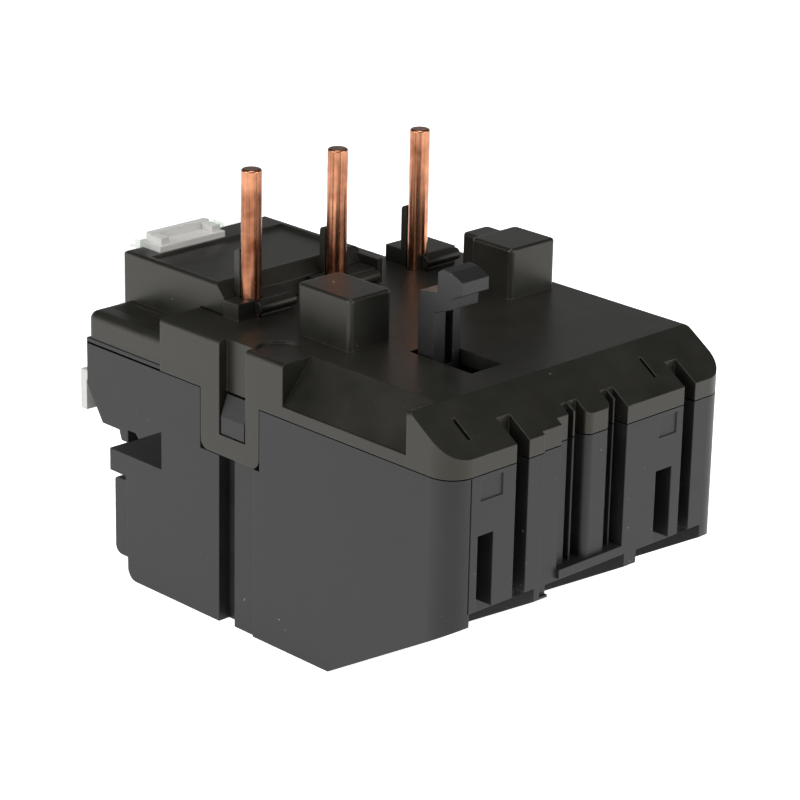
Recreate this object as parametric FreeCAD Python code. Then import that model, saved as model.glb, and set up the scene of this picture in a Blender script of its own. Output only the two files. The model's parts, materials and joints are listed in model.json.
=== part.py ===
import FreeCAD, Part
import math
import os

os.makedirs("parts", exist_ok=True)

Vec = FreeCAD.Vector
X_AXIS = Vec(1, 0, 0)
Y_AXIS = Vec(0, 1, 0)
Z_AXIS = Vec(0, 0, 1)

# Thermal overload relay of a 45 mm wide frame.  Millimetres.  +Z points along the three plug pins,
# -Y is the operator's side with the dial, and the ribbed face lies at +Y.  The origin is the centre
# of the base under the whole relay.

# ---- outer form -------------------------------------------------------------------------------
width = 45.0
rear_depth = 37.3            # back face to the joint between the two housings
terminal_depth = 16.9        # that joint to the face over the power terminals
block_overhang = 7.0         # how far the control block stands out over that face
lid_stand = 2.0              # control block's face to the outside of the clear lid
base_height = 28.3           # housings, up to the cover's parting line
cover_rise = 6.4             # parting line to the cover's top plane
wall = 1.8

# ---- clearances -------------------------------------------------------------------------------
seat_gap = 0.1               # all round a piece that is pushed into its seat
move_gap = 0.3               # beside a piece that moves
pivot_gap = 0.05             # radial, round a shaft that turns

side = width / 2
depth = rear_depth + terminal_depth + block_overhang + lid_stand
back = depth / 2
front = -depth / 2
joint_y = back - rear_depth
terminal_front = joint_y - terminal_depth
block_front = terminal_front - block_overhang
cover_top = base_height + cover_rise

# ---- heater housing (rear) --------------------------------------------------------------------
corner_radius = 3.1
slope_length = 18.7          # sloping underside, measured along Y
slope_height = 10.8
under_recess = 2.4           # underside between the side columns, set back by this
rib_foot = 12.4              # height at which the back face's ribs end
back_wall = 4.0
slot_depth = 3.2             # the two deep slots of the back face
window_head = 21.2
middle_x0 = -5.4             # recessed middle of the back face
middle_x1 = 5.0
middle_depth = 2.5
middle_foot = 13.5
chamber_floor = 2.0
chamber_width = 11.9
chamber_front_wall = 1.2
pole_pitch = 13.5
groove_width = 2.4           # upright groove down each side, behind the joint
groove_depth = 1.6
band_width = 3.5             # shallow band behind that groove
band_depth = 0.3

pole_places = [pole_pitch, 0.0, -pole_pitch]
slope_ratio = slope_height / slope_length
slope_start = back - slope_length

# ---- terminal housing (front) -----------------------------------------------------------------
front_wall = 1.8
bay_width = 10.4             # power terminal bays
bay_top = 13.6
bay_floor = 1.0
bay_rear_wall = 3.0
ledge_bottom = 13.2          # ledge over the power terminals
ledge_top = 16.0
ledge_reach = 2.9
wire_gap_depth = 9.55        # gap for control wires, in from the ledge's edge
wire_gap_back_height = 4.7
block_bottom = 18.8
block_bevel_top = 23.0
block_bevel_depth = 2.8
cap_seat = base_height + 0.6
cap_depth = 13.5             # control block's face to the cover's front edge
mech_floor = 15.6            # compartment for the trip mechanism
mech_length = 7.0
mech_rear_wall = 1.7
mech_half_width = side - 2.1

notch_back = terminal_front - ledge_reach + wire_gap_depth
cover_front = block_front + cap_depth
mech_back = joint_y - mech_rear_wall
mech_front = mech_back - mech_length
bay_back = joint_y - bay_rear_wall
bay_front = terminal_front + front_wall

# ---- power terminals --------------------------------------------------------------------------
power_screw_z = 6.8
driver_hole_radius = 3.0
power_head_radius = 2.8
power_head_length = 1.5
power_thread_radius = 1.95
bar_thickness = 1.0
bar_width = 7.2
bar_front = joint_y - 9.3    # front face of the bar that the wire is pressed on
clamp_width = 9.8
clamp_wall = 0.8
clamp_height = 9.2
clamp_travel = 2.6
thinnest_wire = 1.8          # what the clamp still grips at the end of its travel
wire_entry_width = 7.8
wire_space = clamp_travel + thinnest_wire

# ---- control terminals ------------------------------------------------------------------------
control_pitch = 10.0
control_count = 4
pocket_width = 8.2
pocket_length = 10.0
control_front_wall = 1.6
control_screw_z = 26.2
control_hole_radius = 1.9
control_head_radius = 2.2
control_thread_radius = 1.5
control_head_length = 1.6
saddle_width = 6.6
saddle_thickness = 1.0
saddle_height = 4.2
saddle_tab = 2.0             # side tabs that keep the saddle square
control_travel = 2.1
contact_thickness = 0.8

control_places = [control_pitch * (i - (control_count - 1) / 2) for i in range(control_count)]
pocket_front = block_front + control_front_wall
pocket_back = pocket_front + pocket_length
saddle_y = pocket_front + move_gap + control_head_length + pivot_gap
contact_y = saddle_y + saddle_tab + control_travel + 0.4
strip_z = control_screw_z + 1.55
strip_thickness = 0.5

# ---- top cover --------------------------------------------------------------------------------
ramp_length = 6.5            # sloping rear edge of the cover
lip_height = 2.1             # upright lip under that ramp
flank_top_x = 18.0
flank_low_x = 22.3
flank_low_z = 29.7
flank_front = 5.0
flank_back = 24.7
cover_skin = 1.8
leg_front = joint_y - 3.2
leg_back = joint_y + 6.8
leg_foot = 20.9
leg_thickness = 1.2
leg_window_foot = 23.4
leg_side_rail = 3.2
pad_rise = 2.1
pad_low_x = 5.2              # pad's reach from the pin towards -X
pad_high_x = 3.1             # and towards +X
pad_front_reach = 1.35
far_pad_front_reach = 4.6    # the third pad stands clear of the front cap
pad_back_reach = 1.3
ledge_radius = 0.75
fin_height = 5.6
fin_x0 = -0.9                # fin in front of each pin, from the pin's axis
fin_x1 = 0.87
fin_front = 2.0
fin_back = 0.5
boss_rise = 6.2
hook_x0 = 4.0
hook_width = 4.2
hook_y = joint_y + 18.7
hook_pivot_z = 30.9
hook_shaft_radius = 0.9
hook_post = 2.5
hook_nose = 6.7              # post's front face to the end of the nose

# ---- plug pins --------------------------------------------------------------------------------
pin_radius = 1.22
pin_reach = 17.5             # above the cover's top plane
pin_y = joint_y - 4.7
pin_foot_z = 29.4
pin_foot_thickness = 0.9
pin_foot_width = 2.6

# ---- bimetals and slides ----------------------------------------------------------------------
bimetal_y = joint_y + 10.7
bimetal_x_offset = -1.6      # beside the middle of the pole
bimetal_thickness = 1.0
bimetal_width = 6.4
bimetal_tip_width = 2.4
root_radius = 0.8            # rolled root of the strip
root_pin_radius = 0.3
root_cheek = 0.8
bimetal_shoulder_z = 27.0
bimetal_tip_z = 30.5
bimetal_pivot_z = 4.6
slide_width = 6.0
slide_thickness = 0.8
slide_travel = 2.0
slide_low_z = base_height + 0.15
slide_high_z = slide_low_z + slide_thickness + move_gap
slide_x0 = -19.0
slide_x1 = mech_half_width - 1.2 - slide_travel
heater_turns = 7
heater_pitch = 2.3
heater_ribbon = 1.2
heater_thickness = 0.5
heater_foot_z = 8.0

# ---- trip mechanism ---------------------------------------------------------------------------
lever_pivot_x = -18.0
lever_pivot_z = 23.0
lever_thickness = 1.0
lever_shaft_radius = 0.8
lever_foot_z = 19.6
trip_bar_z = mech_floor + 0.15
trip_bar_height = 0.8
trip_bar_y = mech_front + 3.4
trip_bar_width = 2.6
contact_pivot_z = 24.4
contact_tip_z = 18.3
contact_opening = 0.87
leaf_foot = contact_tip_z - 1.5
pusher_top = contact_tip_z - 1.1
leaf_y = mech_front + 2.6
button_height = 0.7          # from the middle of the leg to the button's face
leaf_button = 0.5
nc_leg_x = -8.7
nc_leaf_x = nc_leg_x - button_height - pivot_gap - leaf_button
no_leg_x = 9.3
no_leaf_x = no_leg_x + button_height + contact_opening + leaf_button
arm_x1 = lever_pivot_x - lever_thickness / 2 - 0.2
arm_y0 = mech_front + 2.4
spring_x0 = -7.2             # snap spring, from the housing's peg
spring_x1 = -1.2             # to the trip bar's ear

# ---- front cap, dial, buttons, lid -------------------------------------------------------------
step_top = cap_seat + 3.45
step_x0 = -19.8
step_x1 = 22.4
trough_x0 = 17.0             # trough along the step, beside the module
trough_x1 = 19.9
trough_fall = 1.2
module_x0 = -6.25
module_x1 = 16.25
module_top = cover_top + 3.6
brow_reach = 4.1              # module's overhang over the top cover
rib_reach = 7.2
panel_z = cap_seat + 4.3               # height of the dial's and the reset button's axes
dial_x = 11.7
dial_radius = 3.4
reset_x = -2.0
reset_radius = 2.3
stop_x = 3.3
stop_z = panel_z - 1.8
stop_radius = 1.5
flag_x0 = 5.2
flag_x1 = 7.2
flag_z = panel_z + 2.4
flag_fork_z = panel_z - 2.9  # underside of the flag's arm and fork
flag_fork_top = flag_fork_z + 0.9
post_x = flag_x1 + 0.7       # trip bar's post that draws the flag
post_y = mech_front + 0.7
web_y = block_front + 8.2    # web inside the cap that carries the shafts
web_thickness = 1.2
lid_thickness = 1.0
lid_top = module_top + 0.9
lid_pivot_z = cap_seat + 0.7
lid_pivot_radius = 0.35
lid_pivot_y = front + 0.65
shaft_radius = 1.1           # spindle and push stems, where the web guides them
tag_x0 = 3.4
tag_x1 = 13.6
tag_top = module_top + 1.7


# ---- small helpers ----------------------------------------------------------------------------
def box(x0, x1, y0, y1, z0, z1):
    return Part.makeBox(x1 - x0, y1 - y0, z1 - z0, Vec(x0, y0, z0))


def face_of(points):
    return Part.Face(Part.makePolygon(points + points[:1]))


def prism_x(profile, x0, x1):
    """Outline in (y, z), drawn out along X."""
    return face_of([Vec(x0, y, z) for y, z in profile]).extrude(Vec(x1 - x0, 0, 0))


def prism_y(profile, y0, y1):
    """Outline in (x, z), drawn out along Y."""
    return face_of([Vec(x, y0, z) for x, z in profile]).extrude(Vec(0, y1 - y0, 0))


def rod_x(radius, x0, x1, y, z):
    return Part.makeCylinder(radius, x1 - x0, Vec(x0, y, z), Vec(1, 0, 0))


def rod_y(radius, y0, y1, x, z):
    return Part.makeCylinder(radius, y1 - y0, Vec(x, y0, z), Vec(0, 1, 0))


def rod_z(radius, z0, z1, x, y):
    return Part.makeCylinder(radius, z1 - z0, Vec(x, y, z0), Vec(0, 0, 1))


def mirrored(shape):
    return shape.mirror(Vec(0, 0, 0), Vec(1, 0, 0))


def runs_along(edge, axis):
    if len(edge.Vertexes) < 2:
        return False
    step = edge.Vertexes[-1].Point - edge.Vertexes[0].Point
    return step.Length > 0 and abs(abs(step.normalize().dot(axis)) - 1) < 1e-6


def rounded(shape, radius, axis, wanted):
    """Round the edges along one axis whose middle the test accepts."""
    edges = [e for e in shape.Edges if runs_along(e, axis) and wanted(e.CenterOfMass)]
    return shape.makeFillet(radius, edges)


def soft_block(x0, x1, y0, y1, z0, z1, radius):
    """A raised block with rounded uprights and a rounded top rim."""
    block = box(x0, x1, y0, y1, z0, z1)
    block = rounded(block, radius, Vec(0, 0, 1), lambda c: True)
    rim = [e for e in block.Edges if abs(e.CenterOfMass.z - z1) < 1e-6]
    return block.makeFillet(radius * 0.6, rim)


def cut_all(shape, tools):
    return shape.cut(Part.makeCompound(tools))


# ---- heater housing ---------------------------------------------------------------------------
def leg_recess():
    """Shallow pocket in each side for the cover's snap legs, on both housings."""
    recess = box(side - leg_thickness - seat_gap, side + 1, leg_front - seat_gap, leg_back + seat_gap,
                 leg_foot - seat_gap, base_height + 1)
    return [recess, mirrored(recess)]


def catch_wedge():
    """Sloped catch that the leg's window snaps over."""
    inner = side - leg_thickness - seat_gap - 0.2
    outer = side - 0.1
    profile = [(inner, leg_window_foot + seat_gap), (outer, leg_window_foot + seat_gap),
               (outer, leg_window_foot + 2.2), (inner + 0.5, base_height - 0.1), (inner, base_height - 0.1)]
    y0 = joint_y + 0.2
    y1 = leg_back - leg_side_rail + 0.6
    return prism_y(profile, y0, y1)


def deep_slots(foot, head):
    """The two slots of the back face, which run on through the cover's lip."""
    places = ((10.5, 12.5), (-16.9, -15.0))
    return [box(x0, x1, back - slot_depth, back + 1, foot, head) for x0, x1 in places]


def middle_recess(foot, head):
    return box(middle_x0, middle_x1, back - middle_depth, back + 1, foot, head)


def middle_ribs(foot, head):
    """Upright ribs in the recessed middle: x from, x to, set back by, corner radius."""
    rows = [(3.1, middle_x1 + 0.1, 1.2, 0.1), (1.85, 2.15, 1.3, 0.1), (-3.3, 0.6, 0.5, 0.9),
            (-4.55, -4.3, 1.2, 0.1)]
    ribs = []
    for x0, x1, set_back, radius in rows:
        rib = box(x0, x1, back - middle_depth - 0.2, back - set_back, foot, head)
        ribs.append(rounded(rib, radius, Z_AXIS, lambda c: c.y > back - middle_depth))
    return ribs


def back_windows():
    """Windows beside the slots, the column that stands back a little, and two shallow tabs."""
    top = base_height + 1
    cuts = [(15.8, 18.2, slot_depth, rib_foot, window_head),
            (-13.4, -10.7, slot_depth, rib_foot, window_head),
            (middle_x1, 8.1, 0.4, 11.1, top), (19.3, 19.5, 0.15, rib_foot, top),
            (14.5, 17.95, 0.15, base_height - 3.1, base_height - 0.6),
            (-13.9, -10.9, 0.15, base_height - 3.1, base_height - 0.6)]
    return [box(x0, x1, back - deep, back + 1, foot, head) for x0, x1, deep, foot, head in cuts]


def underside_recess(x0, x1):
    run = back + 1 - slope_start
    profile = [(slope_start - under_recess - 3, -3 * slope_ratio), (slope_start + run, -3),
               (back + 1, rib_foot), (back - under_recess, rib_foot),
               (back - under_recess, slope_height)]
    return prism_x(profile, x0, x1)


def heater_housing():
    outline = [(joint_y, 0), (slope_start, 0), (back, slope_height), (back, base_height),
               (joint_y, base_height)]
    body = prism_x(outline, -side, side)
    body = rounded(body, corner_radius, Z_AXIS, lambda c: c.y > back - 0.1)
    inner_back = back - back_wall
    inner_start = slope_start - under_recess
    chamber = [(joint_y + chamber_front_wall, chamber_floor), (inner_start - 0.5, chamber_floor),
               (inner_back, (inner_back - inner_start) * slope_ratio + wall + 0.5),
               (inner_back, base_height + 1), (joint_y + chamber_front_wall, base_height + 1)]
    tools = [prism_x(chamber, x - chamber_width / 2, x + chamber_width / 2) for x in pole_places]
    half_slot = bar_width / 2 + seat_gap
    tools += [box(x - half_slot, x + half_slot, joint_y - 1, joint_y + chamber_front_wall + 1,
                  bay_top - bar_thickness - 2 * seat_gap, bay_top) for x in pole_places]
    groove = box(side - groove_depth, side + 1, joint_y - 1, joint_y + groove_width, -1, leg_foot)
    band = box(side - band_depth, side + 1, joint_y + groove_width - 0.1,
               joint_y + groove_width + band_width, -1, leg_foot)
    tools += [groove, mirrored(groove), band, mirrored(band)]
    tools += leg_recess() + deep_slots(rib_foot, base_height + 1) + back_windows()
    tools.append(middle_recess(middle_foot, base_height + 1))
    tools += [underside_recess(-19.0, -7.9), underside_recess(-5.9, 6.8), underside_recess(9.0, 19.2)]
    body = cut_all(body, tools)
    wedge = catch_wedge()
    return body.fuse([wedge, mirrored(wedge)] + middle_ribs(middle_foot - 0.1, base_height)).removeSplitter()


# ---- terminal housing -------------------------------------------------------------------------
def terminal_outline():
    ledge_front = terminal_front - ledge_reach
    roof = ledge_top + wire_gap_back_height
    bevel_start = block_front + block_bevel_depth
    rib_y = bevel_start + 3.5
    return [(joint_y, 0), (terminal_front + 0.3, 0), (terminal_front, ledge_bottom),
            (ledge_front, ledge_bottom), (ledge_front, ledge_top), (notch_back, ledge_top),
            (notch_back, roof), (notch_back - 4.2, roof - 2.1), (notch_back - 4.7, roof - 1.5),
            (rib_y + 1.2, roof - 1.5), (rib_y + 1.2, block_bottom - 1.2), (rib_y, block_bottom - 1.2),
            (rib_y - 0.4, block_bottom), (bevel_start, block_bottom), (block_front, block_bevel_top),
            (block_front, cap_seat), (cover_front, cap_seat), (cover_front, base_height),
            (joint_y, base_height)]


def power_bay(x):
    half = bay_width / 2
    half_slot = bar_width / 2 + seat_gap
    entry_back = bar_front + bar_thickness + wire_space
    return [box(x - half, x + half, bay_front, bay_back, bay_floor, bay_top),
            box(x - wire_entry_width / 2, x + wire_entry_width / 2, bar_front + bar_thickness,
                entry_back, -1, bay_floor + 1),
            rod_y(driver_hole_radius, terminal_front - 1, bay_front + 1, x, power_screw_z),
            box(x - half_slot, x + half_slot, bay_back - 1, joint_y + 1,
                bay_top - bar_thickness - 2 * seat_gap, bay_top)]


def control_pocket(x):
    half = pocket_width / 2
    mouth_back = block_front + 6.1
    return [box(x - half, x + half, pocket_front, pocket_back, block_bottom + 2.6, cap_seat + 1),
            box(x - half, x + half, pocket_front, mouth_back, block_bottom - 2, cap_seat),
            rod_y(control_hole_radius, block_front - 1, pocket_front + 1, x, control_screw_z),
            box(x - 0.7, x + 1.7, pocket_back - 1, mech_front + 1, strip_z - seat_gap, cap_seat + 1)]


def terminal_housing():
    body = prism_x(terminal_outline(), -side, side)
    body = rounded(body, 1.5, X_AXIS, lambda c: c.z < 0.01 and c.y < terminal_front + 1)
    body = rounded(body, 0.6, X_AXIS, lambda c: c.y < block_front + 0.01 and c.z < block_bevel_top + 1)
    tools = [box(-mech_half_width, mech_half_width, mech_front, mech_back, mech_floor, base_height + 1)]
    for x in pole_places:
        tools += power_bay(x)
    for x in control_places:
        tools += control_pocket(x)
    for x in (pole_pitch / 2, -pole_pitch / 2):
        tools.append(box(x - 1.3, x + 1.3, terminal_front - 1, bay_front + 1, 4.9, 9.1))
    for y0, y1 in ((mech_front - 1.2, mech_front + 0.1), (mech_back - 0.1, mech_back + 1.0)):
        tools.append(rod_y(lever_shaft_radius, y0, y1, lever_pivot_x, lever_pivot_z))
    tools += leg_recess()
    peg = box(spring_x0 - 0.9, spring_x0 - 0.1, mech_back - 1.9, mech_back + 0.5, mech_floor - 0.5,
              mech_floor + 2.0)
    return cut_all(body, tools).fuse(peg).removeSplitter()


def terminal_shroud():
    """Finger guard in front of the power screws."""
    inner = terminal_front - 0.5
    outer = inner - 2.6
    low = 2.2
    high = 12.1
    body = box(-side + 0.9, side - 0.9, outer, inner, low, high)
    body = rounded(body, 1.1, X_AXIS, lambda c: c.y < outer + 0.01 and c.z < low + 0.01)
    body = rounded(body, 0.5, X_AXIS, lambda c: c.y < outer + 0.01 and c.z > high - 0.01)
    tools = [rod_y(driver_hole_radius + 0.3, outer - 1, inner + 1, x, power_screw_z) for x in pole_places]
    body = cut_all(body, tools)
    lugs = [box(x - 1.2, x + 1.2, inner - 0.2, bay_front, 5.0, 9.0) for x in (pole_pitch / 2, -pole_pitch / 2)]
    return body.fuse(lugs).removeSplitter()


# ---- top cover --------------------------------------------------------------------------------
def pin_pad(x):
    """Raised pad, insulating fin and rounded ledge at each pin."""
    high_x = fin_x1 if x == pole_places[-1] else pad_high_x
    front_reach = far_pad_front_reach if x == pole_places[-1] else pad_front_reach
    top = cover_top + pad_rise
    pad = box(x - pad_low_x, x + high_x, pin_y - front_reach, pin_y + pad_back_reach, cover_top - 0.5, top)
    ledge = rod_x(ledge_radius, x - pad_low_x, x + 0.4, pin_y + pad_back_reach + 0.2, top - ledge_radius - 0.2)
    fin = box(x + fin_x0, x + fin_x1, pin_y - fin_front, pin_y - fin_back, cover_top - 0.5, top + fin_height)
    fin = rounded(fin, 0.6, X_AXIS, lambda c: c.z > cover_top + 1 and c.y < pin_y - 1)
    return [pad, ledge, fin]


def cover_shell():
    lip_top = base_height + lip_height
    outline = [(cover_front, base_height), (cover_front, cover_top), (back - ramp_length, cover_top),
               (back, lip_top), (back, base_height)]
    shell = prism_x(outline, -side, side)
    shell = rounded(shell, corner_radius, Z_AXIS, lambda c: c.y > back - 0.1)
    shell = rounded(shell, 0.5, Y_AXIS, lambda c: c.z > cover_top - 0.01)
    flank = prism_y([(flank_top_x, cover_top), (flank_low_x, flank_low_z), (side + 1, flank_low_z),
                     (side + 1, cover_top + 1), (flank_top_x, cover_top + 1)], flank_front, flank_back)
    skin_x = side - cover_skin - 0.3
    inner_front = cover_front + cover_skin
    low = prism_x([(inner_front, base_height - 1), (inner_front, base_height + 2.5),
                   (back - 4.2, base_height + 2.5), (back - 2.4, base_height + 0.6),
                   (back - 2.4, base_height - 1)], -skin_x, skin_x)
    high_x = flank_top_x - 1.0
    high = prism_x([(inner_front, base_height + 2), (inner_front, cover_top - cover_skin),
                    (back - ramp_length - 1.2, cover_top - cover_skin),
                    (back - ramp_length + 0.6, base_height + 2)], -high_x, high_x)
    doorway = box(module_x0 + 1.6, module_x1 - 1.6, cover_front - 1, inner_front + 1, base_height - 1,
                  cover_top - cover_skin)
    ribs = [rib.common(shell) for rib in middle_ribs(base_height, cover_top)]
    second_column = box(middle_x1, 8.1, back - 0.4, back + 1, base_height - 1, cover_top)
    tools = [flank, low, high, doorway, second_column, middle_recess(base_height - 1, cover_top)]
    return cut_all(shell, tools).fuse(ribs)


def snap_leg():
    leg = box(side - leg_thickness, side, leg_front, leg_back, leg_foot, base_height + 0.2)
    leg = rounded(leg, 1.2, X_AXIS, lambda c: c.z < leg_foot + 0.01)
    window = box(side - leg_thickness - 1, side + 1, joint_y, leg_back - leg_side_rail + 0.9,
                 leg_window_foot, base_height + 0.3)
    return leg.cut(window)


def hook_bearings():
    """Two lugs under the cover that carry the latch's shaft."""
    lugs = []
    for x0 in (hook_x0 - 3.1, hook_x0 + hook_width + 1.6):
        lug = box(x0, x0 + 1.5, hook_y - 1.9, hook_y + 1.9, hook_pivot_z - 1.6, cover_top - cover_skin + 0.1)
        lug = rounded(lug, 1.2, X_AXIS, lambda c: c.z < hook_pivot_z)
        lugs.append(lug.cut(rod_x(hook_shaft_radius + pivot_gap, x0 - 1, x0 + 3, hook_y, hook_pivot_z)))
    return lugs


def top_cover():
    cover = cover_shell()
    leg = snap_leg()
    pieces = [leg, mirrored(leg)]
    for x in pole_places:
        pieces += pin_pad(x)
    boss_top = cover_top + boss_rise
    pieces.append(soft_block(7.8, 14.3, joint_y + 4.0, joint_y + 12.8, cover_top - 0.5, boss_top, 0.6))
    pieces.append(soft_block(-20.6, -13.0, joint_y + 4.8, joint_y + 11.5, cover_top - 0.5, boss_top, 0.6))
    pieces.append(soft_block(-18.5, -14.2, joint_y + 2.1, joint_y + 5.8, cover_top - 0.5, boss_top - 0.2, 0.6))
    pieces += hook_bearings()
    cover = cover.fuse(pieces).removeSplitter()
    bore_top = cover_top + pad_rise + fin_height + 1
    tools = [rod_z(pin_radius + seat_gap, base_height, bore_top, x, pin_y) for x in pole_places]
    tools.append(box(hook_x0 - 0.2, hook_x0 + hook_width + 0.6, hook_y - 1.9, hook_y + 7.9,
                     cover_top - cover_skin - 0.5, cover_top + 1))
    tools.append(rod_z(2.75, cover_top - 0.3, cover_top + 1, side - 3.3, joint_y + 6.6))
    tools += deep_slots(base_height - 1, cover_top)
    leg_gap = box(side - leg_thickness, side + 1, joint_y, leg_back - leg_side_rail + 0.9, leg_window_foot,
                  cover_top + 1)
    tools += [leg_gap, mirrored(leg_gap)]
    tools += [box(x0, x0 + 0.5, back - 4.6, back - 2.0, cover_top - 4.0, cover_top)
              for x0 in (17.6, -12.4)]
    return cut_all(cover, tools)


# ---- hook latch -------------------------------------------------------------------------------
def hook_latch():
    """Sprung hook that holds the relay to the contactor above it."""
    post_y0 = hook_y - 1.2
    post_y1 = post_y0 + hook_post
    head_y0 = post_y1 + 0.4
    nose_y = post_y0 + hook_nose
    outline = [(post_y0, hook_pivot_z), (post_y0, 42.0), (head_y0, 42.4), (head_y0, 44.8),
               (head_y0 + 0.7, 45.3), (head_y0 + 2.0, 45.2), (nose_y, 44.4), (nose_y, 42.9),
               (nose_y - 1.5, 42.2), (nose_y - 1.6, 40.9), (post_y1, 39.9), (post_y1, hook_pivot_z)]
    x1 = hook_x0 + hook_width
    body = prism_x(outline, hook_x0, x1)
    slit = box(hook_x0 + 1.2, hook_x0 + 2.4, post_y1 - 1.2, post_y1 + 1, hook_pivot_z + 2.5, 40.4)
    shaft = rod_x(hook_shaft_radius, hook_x0 - 3.1, x1 + 3.1, hook_y, hook_pivot_z)
    collar = rod_x(1.7, hook_x0 - 1.2, x1 + 1.2, hook_y, hook_pivot_z)
    return body.cut(slit).fuse([shaft, collar]).removeSplitter()


# ---- front cap --------------------------------------------------------------------------------
def front_cap():
    step = box(step_x0, step_x1, block_front, cover_front - seat_gap, cap_seat, step_top)
    step = rounded(step, 1.2, X_AXIS, lambda c: c.z > step_top - 0.01 and c.y < block_front + 0.1)
    step = rounded(step, 1.0, Y_AXIS, lambda c: c.z > step_top - 0.01)
    tower = box(module_x0, module_x1, block_front - 0.4, cover_front - seat_gap, cap_seat, module_top)
    brow = box(module_x0, module_x1, cover_front - 1, cover_front + brow_reach, cover_top + seat_gap,
               module_top)
    module = tower.fuse(brow).removeSplitter()
    rear = [e for e in module.Edges if abs(e.CenterOfMass.z - module_top) < 1e-6
            and abs(e.CenterOfMass.y - cover_front - brow_reach) < 1e-6]
    module = module.makeChamfer(module_top - cover_top - pad_rise, rear)
    rim = [e for e in module.Edges if abs(e.CenterOfMass.z - module_top) < 1e-6]
    module = module.makeFillet(0.4, rim)
    rib = box(module_x0 + 0.1, pole_places[1] - pad_low_x - 0.2, cover_front, cover_front + rib_reach,
              cover_top + seat_gap, module_top - 0.5)
    body = step.fuse([module, rib]).removeSplitter()
    skin = 1.4
    hollow = box(module_x0 + skin, module_x1 - skin, block_front + 1.2, cover_front + 0.1,
                 cap_seat - 1, module_top - skin)
    shallow = box(step_x0 + skin, step_x1 - skin, block_front + skin, cover_front - 1.4,
                  cap_seat - 1, step_top - 1.3)
    trough_start = block_front + 1.6
    trough = prism_x([(trough_start, step_top), (cover_front, step_top - trough_fall),
                      (cover_front, step_top + 1), (trough_start, step_top + 1)], trough_x0, trough_x1)
    panel = box(module_x0 + 1, module_x1 - 0.8, block_front + 3.6, cover_front + 2.2, module_top - 0.3,
                module_top + 1)
    panel_back = block_front + 2
    tools = [hollow, shallow, trough, panel,
             rod_y(dial_radius + move_gap, front, panel_back, dial_x, panel_z),
             rod_y(reset_radius + move_gap, front, panel_back, reset_x, panel_z),
             rod_y(stop_radius + move_gap, front, panel_back, stop_x, stop_z),
             box(flag_x0, flag_x1, front, panel_back, flag_z - 0.9, flag_z + 0.9),
             box(tag_x0 - seat_gap, tag_x1 + seat_gap, front, block_front + 3.2, module_top - 1.1,
                 module_top + 1)]
    tools += [box(x + fin_x0 - seat_gap, x + fin_x1 + seat_gap, pin_y - fin_front - seat_gap, pin_y,
                  cover_top, module_top + 1) for x in pole_places]
    body = cut_all(body, tools)
    web = box(module_x0 + skin - 0.2, module_x1 - skin + 0.2, web_y, web_y + web_thickness,
              cap_seat + 0.5, module_top - skin + 0.2)
    slot = box(flag_x0 - 2.9, flag_x1 + 0.6, web_y - 1, web_y + 3, flag_fork_z - move_gap,
               flag_fork_top + move_gap + 0.1)
    bores = [rod_y(shaft_radius + pivot_gap, web_y - 1, web_y + 3, x, z)
             for x, z in ((dial_x, panel_z), (reset_x, panel_z), (stop_x, stop_z))]
    web = cut_all(web, bores + [slot.cut(rod_y(1.9, web_y - 1, web_y + 3, stop_x, stop_z))])
    rail = box(flag_x0 - 2.8, flag_x0 - 0.3, block_front + 1.0, block_front + 2.9, flag_z - 2.0, flag_z - 1.3)
    ears = [lid_ear(module_x0 - 1.2), lid_ear(module_x1 + 0.2)]
    return body.fuse([web, rail] + ears).removeSplitter()


def lid_ear(x0):
    """Small ear on the cap that holds one end of the lid's hinge."""
    ear = box(x0, x0 + 1.0, front, block_front + 0.2, lid_pivot_z - 0.65, lid_pivot_z + 0.65)
    ear = rounded(ear, 0.5, X_AXIS, lambda c: c.y < front + 0.01)
    return ear.cut(rod_x(lid_pivot_radius + pivot_gap, x0 - 1, x0 + 2, lid_pivot_y, lid_pivot_z))


def clear_lid():
    """Clear lid over the dial, with holes for the two buttons."""
    x0 = module_x0 + 0.2
    x1 = module_x1 - 0.2
    lid = box(x0, x1, front, front + lid_thickness, lid_pivot_z - 0.5, lid_top)
    lid = rounded(lid, 0.5, Z_AXIS, lambda c: c.y < front + 0.01)
    tongues = [box(tag_x0 - 1.6, tag_x0 - 0.5, front + 0.2, front + 3.0, lid_top - 0.6, lid_top),
               box(tag_x1 + 0.5, tag_x1 + 1.6, front + 0.2, front + 3.0, lid_top - 0.6, lid_top)]
    pivots = [rod_x(lid_pivot_radius, module_x0 - 1.0, x0 + 0.5, lid_pivot_y, lid_pivot_z),
              rod_x(lid_pivot_radius, x1 - 0.5, module_x1 + 1.0, lid_pivot_y, lid_pivot_z)]
    lid = lid.fuse(tongues + pivots).removeSplitter()
    notch = stop_radius + 0.5
    return cut_all(lid, [rod_y(reset_radius + 0.5, front - 1, front + 2, reset_x, panel_z),
                         rod_y(notch, front - 1, front + 2, stop_x, stop_z),
                         box(stop_x - notch, stop_x + notch, front - 1, front + 2, lid_pivot_z - 1, stop_z)])


def marker_tag():
    """White label holder clipped on the module's top edge."""
    y0 = block_front - 0.4 - 0.3
    y1 = block_front + 3.1
    base = box(tag_x0, tag_x1, y0, y1, module_top - 1.0, module_top + 0.7)
    bar = box(tag_x0 + 0.5, tag_x1 - 0.5, y0 + 0.4, y0 + 1.4, module_top + 0.5, tag_top)
    ends = [box(x, x + 1.2, y0 + 0.4, y1 - 0.4, module_top + 0.5, tag_top - 0.2)
            for x in (tag_x0 + 0.5, tag_x1 - 1.7)]
    tag = base.fuse([bar] + ends).removeSplitter()
    return rounded(tag, 0.3, Z_AXIS, lambda c: c.z > module_top and c.y < y0 + 0.5)


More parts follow.
